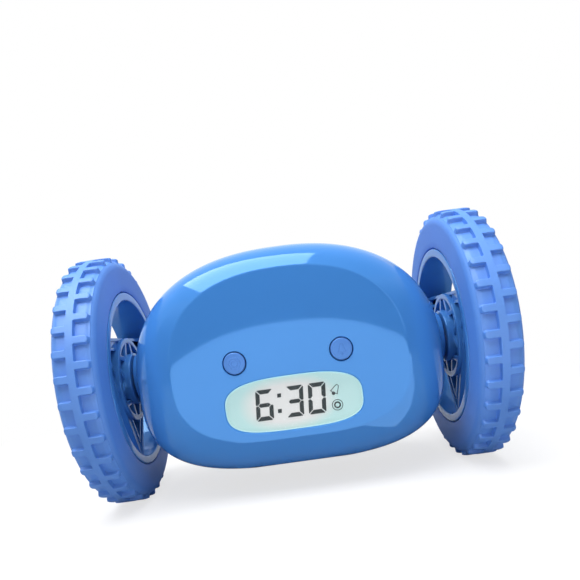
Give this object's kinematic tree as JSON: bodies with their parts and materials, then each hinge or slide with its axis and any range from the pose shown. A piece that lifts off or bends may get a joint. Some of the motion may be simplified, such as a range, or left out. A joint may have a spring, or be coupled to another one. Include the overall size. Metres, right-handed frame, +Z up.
{
  "type": "runaway alarm clock",
  "caption": "Rounded two wheeled alarm clock that rolls away: glossy body with inset face, display and buttons between two rubber tyred wheels, with its drive inside.",
  "frame": {"origin": "on the ground plane, under the middle of the wheel axis", "axes": "+X along the wheel axis to the right seen from the face, the face looks to -Y, +Z up"},
  "size_m": [0.1384, 0.088, 0.088],
  "materials": {
    "shell_blue": "gloss moulded ABS",
    "face_blue": "gloss moulded ABS",
    "button_blue": "satin moulded ABS",
    "set_button_white": "satin moulded ABS",
    "clear_lens": "clear gloss window",
    "segment_grey": "dark display segments",
    "display_grey": "grey display cell",
    "inner_plastic": "black moulded plastic",
    "board_green": "solder mask",
    "screw_steel": "zinc plated steel",
    "speaker_steel": "pressed steel",
    "speaker_paper": "coated paper",
    "cell_jacket": "metal cell jacket",
    "contact_plating": "nickel plated strip",
    "tyre_rubber": "matte moulded blue rubber",
    "rim_blue": "satin moulded ABS",
    "bush_bronze": "sintered bronze",
    "gear_nylon": "natural nylon",
    "motor_steel": "pressed steel can",
    "rotor_copper": "wound armature"
  },
  "bodies": {
    "chassis": {"front_shell": "shell_blue", "rear_shell": "shell_blue", "face_panel": "face_blue", "rear_panel": "shell_blue", "display_lens": "clear_lens", "display_segments": "segment_grey", "display_glass": "display_grey", "backlight": "display_grey", "display_carrier": "inner_plastic", "main_board": "board_green", "board_chips": "inner_plastic", "front_switches": "inner_plastic", "board_screws": "screw_steel", "snooze_board": "board_green", "snooze_switch": "inner_plastic", "rear_board": "board_green", "rear_switches": "inner_plastic", "speaker_frame": "speaker_steel", "speaker_cone": "speaker_paper", "speaker_magnet": "speaker_steel", "battery_tray": "inner_plastic", "cell_1": "cell_jacket", "cell_2": "cell_jacket", "cell_3": "cell_jacket", "cell_4": "cell_jacket", "battery_contacts": "contact_plating", "battery_door": "shell_blue", "shell_screws": "screw_steel", "left_bush": "bush_bronze", "right_bush": "bush_bronze", "left_gear_case": "inner_plastic", "right_gear_case": "inner_plastic", "left_idler_pin": "screw_steel", "right_idler_pin": "screw_steel", "left_motor_can": "motor_steel", "right_motor_can": "motor_steel"},
    "wheel_button": {"wheel_button": "button_blue"},
    "alarm_button": {"alarm_button": "button_blue"},
    "snooze_button": {"snooze_button": "button_blue"},
    "hour_button": {"hour_button": "set_button_white"},
    "minute_button": {"minute_button": "set_button_white"},
    "time_button": {"time_button": "set_button_white"},
    "alarm_set_button": {"alarm_set_button": "set_button_white"},
    "left_wheel": {"left_tyre": "tyre_rubber", "left_hub": "rim_blue", "left_wheel_cap": "rim_blue", "left_axle": "screw_steel", "left_drive_gear": "gear_nylon"},
    "right_wheel": {"right_tyre": "tyre_rubber", "right_hub": "rim_blue", "right_wheel_cap": "rim_blue", "right_axle": "screw_steel", "right_drive_gear": "gear_nylon"},
    "left_idler": {"left_idler_gear": "gear_nylon"},
    "right_idler": {"right_idler_gear": "gear_nylon"},
    "left_motor": {"left_rotor": "rotor_copper", "left_pinion": "bush_bronze"},
    "right_motor": {"right_rotor": "rotor_copper", "right_pinion": "bush_bronze"}
  },
  "joints": [
    {"name": "left_wheel_spin", "type": "hinge", "parent": "chassis", "child": "left_wheel", "pos_m": [0, 0, 0.044], "axis": [1, 0, 0], "continuous": true},
    {"name": "left_idler_spin", "type": "hinge", "parent": "chassis", "child": "left_idler", "pos_m": [0, 0.01299, 0.0365], "axis": [1, 0, 0], "continuous": true},
    {"name": "left_motor_spin", "type": "hinge", "parent": "chassis", "child": "left_motor", "pos_m": [0, 0.00174, 0.03411], "axis": [1, 0, 0], "continuous": true},
    {"name": "right_wheel_spin", "type": "hinge", "parent": "chassis", "child": "right_wheel", "pos_m": [0, 0, 0.044], "axis": [1, 0, 0], "continuous": true},
    {"name": "right_idler_spin", "type": "hinge", "parent": "chassis", "child": "right_idler", "pos_m": [0, 0.01299, 0.0365], "axis": [1, 0, 0], "continuous": true},
    {"name": "right_motor_spin", "type": "hinge", "parent": "chassis", "child": "right_motor", "pos_m": [0, 0.00174, 0.03411], "axis": [1, 0, 0], "continuous": true},
    {"name": "wheel_press", "type": "slide", "parent": "chassis", "child": "wheel_button", "axis": [0, 1, 0], "range_m": [0, 0.0005], "stiffness_N_per_m": 400, "springref_m": -0.0005},
    {"name": "alarm_press", "type": "slide", "parent": "chassis", "child": "alarm_button", "axis": [0, 1, 0], "range_m": [0, 0.0005], "stiffness_N_per_m": 400, "springref_m": -0.0005},
    {"name": "snooze_press", "type": "slide", "parent": "chassis", "child": "snooze_button", "axis": [0, 0, -1], "range_m": [0, 0.0008], "stiffness_N_per_m": 500, "springref_m": -0.0008},
    {"name": "hour_press", "type": "slide", "parent": "chassis", "child": "hour_button", "axis": [0, -1, 0], "range_m": [0, 0.0005], "stiffness_N_per_m": 400, "springref_m": -0.0005},
    {"name": "minute_press", "type": "slide", "parent": "chassis", "child": "minute_button", "axis": [0, -1, 0], "range_m": [0, 0.0005], "stiffness_N_per_m": 400, "springref_m": -0.0005},
    {"name": "time_press", "type": "slide", "parent": "chassis", "child": "time_button", "axis": [0, -1, 0], "range_m": [0, 0.0005], "stiffness_N_per_m": 400, "springref_m": -0.0005},
    {"name": "alarm_set_press", "type": "slide", "parent": "chassis", "child": "alarm_set_button", "axis": [0, -1, 0], "range_m": [0, 0.0005], "stiffness_N_per_m": 400, "springref_m": -0.0005}
  ],
  "couplings": [
    {"joint": "left_idler_spin", "follows": "left_wheel_spin", "ratio": -4},
    {"joint": "left_motor_spin", "follows": "left_wheel_spin", "ratio": 14.4},
    {"joint": "right_idler_spin", "follows": "right_wheel_spin", "ratio": -4},
    {"joint": "right_motor_spin", "follows": "right_wheel_spin", "ratio": 14.4}
  ]
}
